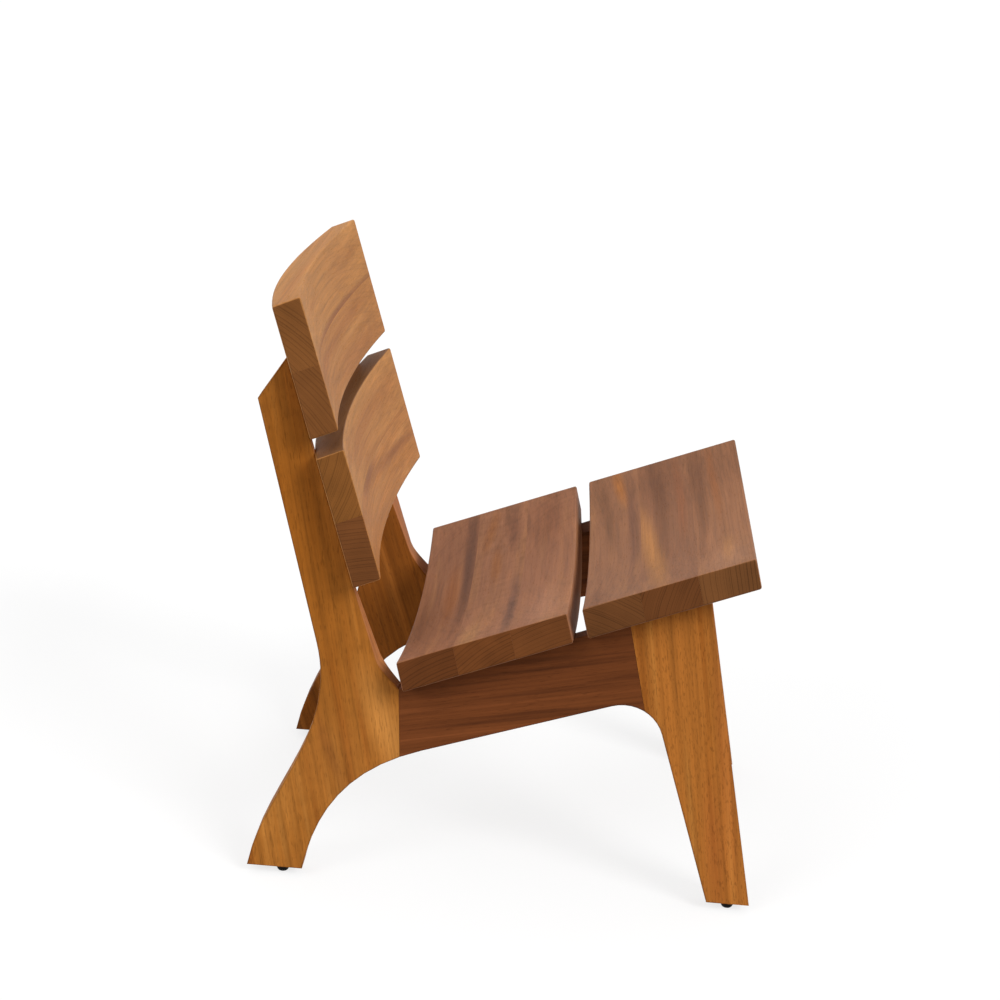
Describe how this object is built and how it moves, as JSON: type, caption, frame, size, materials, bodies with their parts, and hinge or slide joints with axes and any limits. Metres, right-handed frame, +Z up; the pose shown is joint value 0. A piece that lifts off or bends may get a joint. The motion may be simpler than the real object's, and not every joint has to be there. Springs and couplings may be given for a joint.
{
  "type": "armless lounge chair",
  "caption": "Low armless lounge chair in solid wood: sawn side frames with sweeping rear legs carry a dished slatted seat and a reclined, curved slatted back.",
  "frame": {"origin": "on the floor, at the middle of the chair's outer box", "axes": "+Z up, -Y the way the sitter faces, +X to the sitter's left"},
  "size_m": [0.6, 0.6418, 0.7353],
  "materials": {
    "leg_wood": "golden hardwood, oiled, satin",
    "rail_wood": "dark red-brown hardwood, oiled, satin",
    "seat_wood": "pinkish brown hardwood with dark streaks, oiled, satin",
    "back_wood": "tan hardwood with reddish streaks, oiled, satin",
    "joint_wood": "pale hardwood, bare",
    "glide_plastic": "black, matte",
    "nail_steel": "bare steel"
  },
  "bodies": {
    "root": {"rear_post_left": "leg_wood", "rear_post_right": "leg_wood", "front_leg_left": "leg_wood", "front_leg_right": "leg_wood", "side_rail_left": "rail_wood", "side_rail_right": "rail_wood", "front_seat_slab_front_board": "seat_wood", "front_seat_slab_middle_board": "seat_wood", "front_seat_slab_rear_board": "seat_wood", "rear_seat_slab_front_board": "seat_wood", "rear_seat_slab_middle_board": "seat_wood", "rear_seat_slab_rear_board": "seat_wood", "lower_back_slab_lower_board": "back_wood", "lower_back_slab_upper_board": "back_wood", "upper_back_slab_lower_board": "back_wood", "upper_back_slab_upper_board": "back_wood", "rear_tenon_upper_left": "joint_wood", "rear_tenon_lower_left": "joint_wood", "front_tenon_upper_left": "joint_wood", "front_tenon_lower_left": "joint_wood", "rear_tenon_upper_right": "joint_wood", "rear_tenon_lower_right": "joint_wood", "front_tenon_upper_right": "joint_wood", "front_tenon_lower_right": "joint_wood", "front_seat_dowel_front_left": "joint_wood", "front_seat_dowel_rear_left": "joint_wood", "rear_seat_dowel_front_left": "joint_wood", "rear_seat_dowel_rear_left": "joint_wood", "front_seat_dowel_front_right": "joint_wood", "front_seat_dowel_rear_right": "joint_wood", "rear_seat_dowel_front_right": "joint_wood", "rear_seat_dowel_rear_right": "joint_wood", "lower_back_dowel_lower_left": "joint_wood", "lower_back_dowel_upper_left": "joint_wood", "upper_back_dowel_lower_left": "joint_wood", "upper_back_dowel_upper_left": "joint_wood", "lower_back_dowel_lower_right": "joint_wood", "lower_back_dowel_upper_right": "joint_wood", "upper_back_dowel_lower_right": "joint_wood", "upper_back_dowel_upper_right": "joint_wood", "front_glide_left": "glide_plastic", "front_glide_right": "glide_plastic", "rear_glide_left": "glide_plastic", "rear_glide_right": "glide_plastic", "front_glide_nail_left": "nail_steel", "front_glide_nail_right": "nail_steel", "rear_glide_nail_left": "nail_steel", "rear_glide_nail_right": "nail_steel"}
  },
  "joints": []
}
